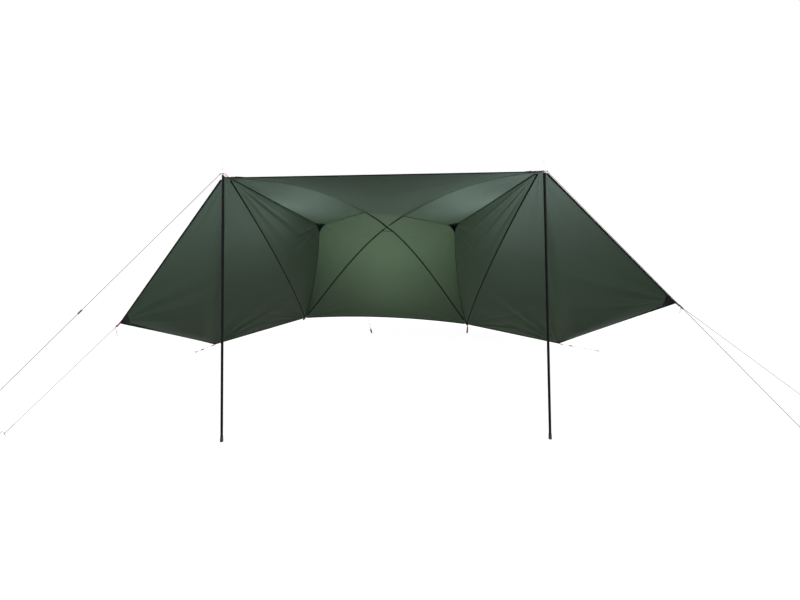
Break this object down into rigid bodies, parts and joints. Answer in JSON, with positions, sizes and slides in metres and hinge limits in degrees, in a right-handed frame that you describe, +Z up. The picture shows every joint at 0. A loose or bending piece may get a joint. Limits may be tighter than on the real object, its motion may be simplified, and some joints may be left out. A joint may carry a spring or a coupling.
{
  "type": "car side tent",
  "caption": "Open-fronted green cloth shelter on steel uprights and crossed flexible poles, with flared wings, guys, runners and pegs.",
  "frame": {"origin": "on the ground under the middle of the cloth and poles", "axes": "-Y out of the open front, +X to the right as seen from the open front looking in, +Z up"},
  "size_m": [6.6159, 3.6851, 2.0697],
  "materials": {
    "green_cloth": "dark green coated polyester, plain weave",
    "dark_tape": "black-green folded hem tape and felled seams",
    "patch_cloth": "dark double cloth with stitched edges",
    "red_webbing": "crimson woven webbing",
    "guy_cord": "light grey braided cord",
    "black_steel": "black powder-coated steel tube",
    "black_rubber": "black moulded foot",
    "spike_steel": "plated steel spike",
    "fibreglass": "black glass-fibre rod",
    "runner_plastic": "black moulded plastic",
    "peg_steel": "bent steel wire"
  },
  "bodies": {
    "shelter": {"roof_panel": "green_cloth", "back_panel": "green_cloth", "left_shoulder_panel": "green_cloth", "right_shoulder_panel": "green_cloth", "left_rear_side_panel": "green_cloth", "right_rear_side_panel": "green_cloth", "left_wing_panel": "green_cloth", "right_wing_panel": "green_cloth", "left_shoulder_seam": "dark_tape", "right_shoulder_seam": "dark_tape", "left_side_seam": "dark_tape", "right_side_seam": "dark_tape", "left_wing_hem": "dark_tape", "right_wing_hem": "dark_tape", "front_hem": "dark_tape", "back_hem": "dark_tape", "left_pole_sleeve": "dark_tape", "right_pole_sleeve": "dark_tape", "crossing_patch": "patch_cloth", "left_wing_patch": "patch_cloth", "right_wing_patch": "patch_cloth", "left_shoulder_patch": "patch_cloth", "right_shoulder_patch": "patch_cloth", "left_pole_pocket": "patch_cloth", "right_pole_pocket": "patch_cloth", "left_peak_tape": "red_webbing", "right_peak_tape": "red_webbing", "left_wing_tape": "red_webbing", "right_wing_tape": "red_webbing", "left_side_tape": "red_webbing", "right_side_tape": "red_webbing", "right_back_strap": "red_webbing", "hem_tab": "red_webbing", "hem_cord": "red_webbing", "left_main_guy": "guy_cord", "right_main_guy": "guy_cord", "left_wing_guy": "guy_cord", "right_wing_guy": "guy_cord", "left_side_guy": "guy_cord", "right_side_guy": "guy_cord", "left_flexible_pole": "fibreglass", "right_flexible_pole": "fibreglass", "left_main_peg": "peg_steel", "right_main_peg": "peg_steel", "left_wing_peg": "peg_steel", "right_wing_peg": "peg_steel", "left_side_peg": "peg_steel", "right_side_peg": "peg_steel"},
    "left_upright": {"left_upright_upper": "black_steel", "left_upright_lower": "black_steel", "left_foot": "black_rubber", "left_spike": "spike_steel"},
    "left_main_runner": {"left_main_runner": "runner_plastic"},
    "left_side_runner": {"left_side_runner": "runner_plastic"},
    "right_upright": {"right_upright_upper": "black_steel", "right_upright_lower": "black_steel", "right_foot": "black_rubber", "right_spike": "spike_steel"},
    "right_main_runner": {"right_main_runner": "runner_plastic"},
    "right_side_runner": {"right_side_runner": "runner_plastic"}
  },
  "joints": [
    {"name": "left_upright_lean", "type": "hinge", "parent": "shelter", "child": "left_upright", "pos_m": [-1.2965, -1.68, 1.985], "axis": [1, 0, 0], "range_deg": [-15, 15]},
    {"name": "right_upright_lean", "type": "hinge", "parent": "shelter", "child": "right_upright", "pos_m": [1.0835, -1.68, 1.985], "axis": [1, 0, 0], "range_deg": [-15, 15]},
    {"name": "left_main_runner_slide", "type": "slide", "parent": "shelter", "child": "left_main_runner", "axis": [-0.6916, -0.1097, -0.7139], "range_m": [-0.35, 0.35]},
    {"name": "left_side_runner_slide", "type": "slide", "parent": "shelter", "child": "left_side_runner", "axis": [-0.5828, -0.8088, -0.0792], "range_m": [-0.09, 0.04]},
    {"name": "right_main_runner_slide", "type": "slide", "parent": "shelter", "child": "right_main_runner", "axis": [0.6677, -0.1131, -0.7358], "range_m": [-0.35, 0.35]},
    {"name": "right_side_runner_slide", "type": "slide", "parent": "shelter", "child": "right_side_runner", "axis": [0.8776, -0.4764, -0.0533], "range_m": [-0.06, 0.22]}
  ]
}
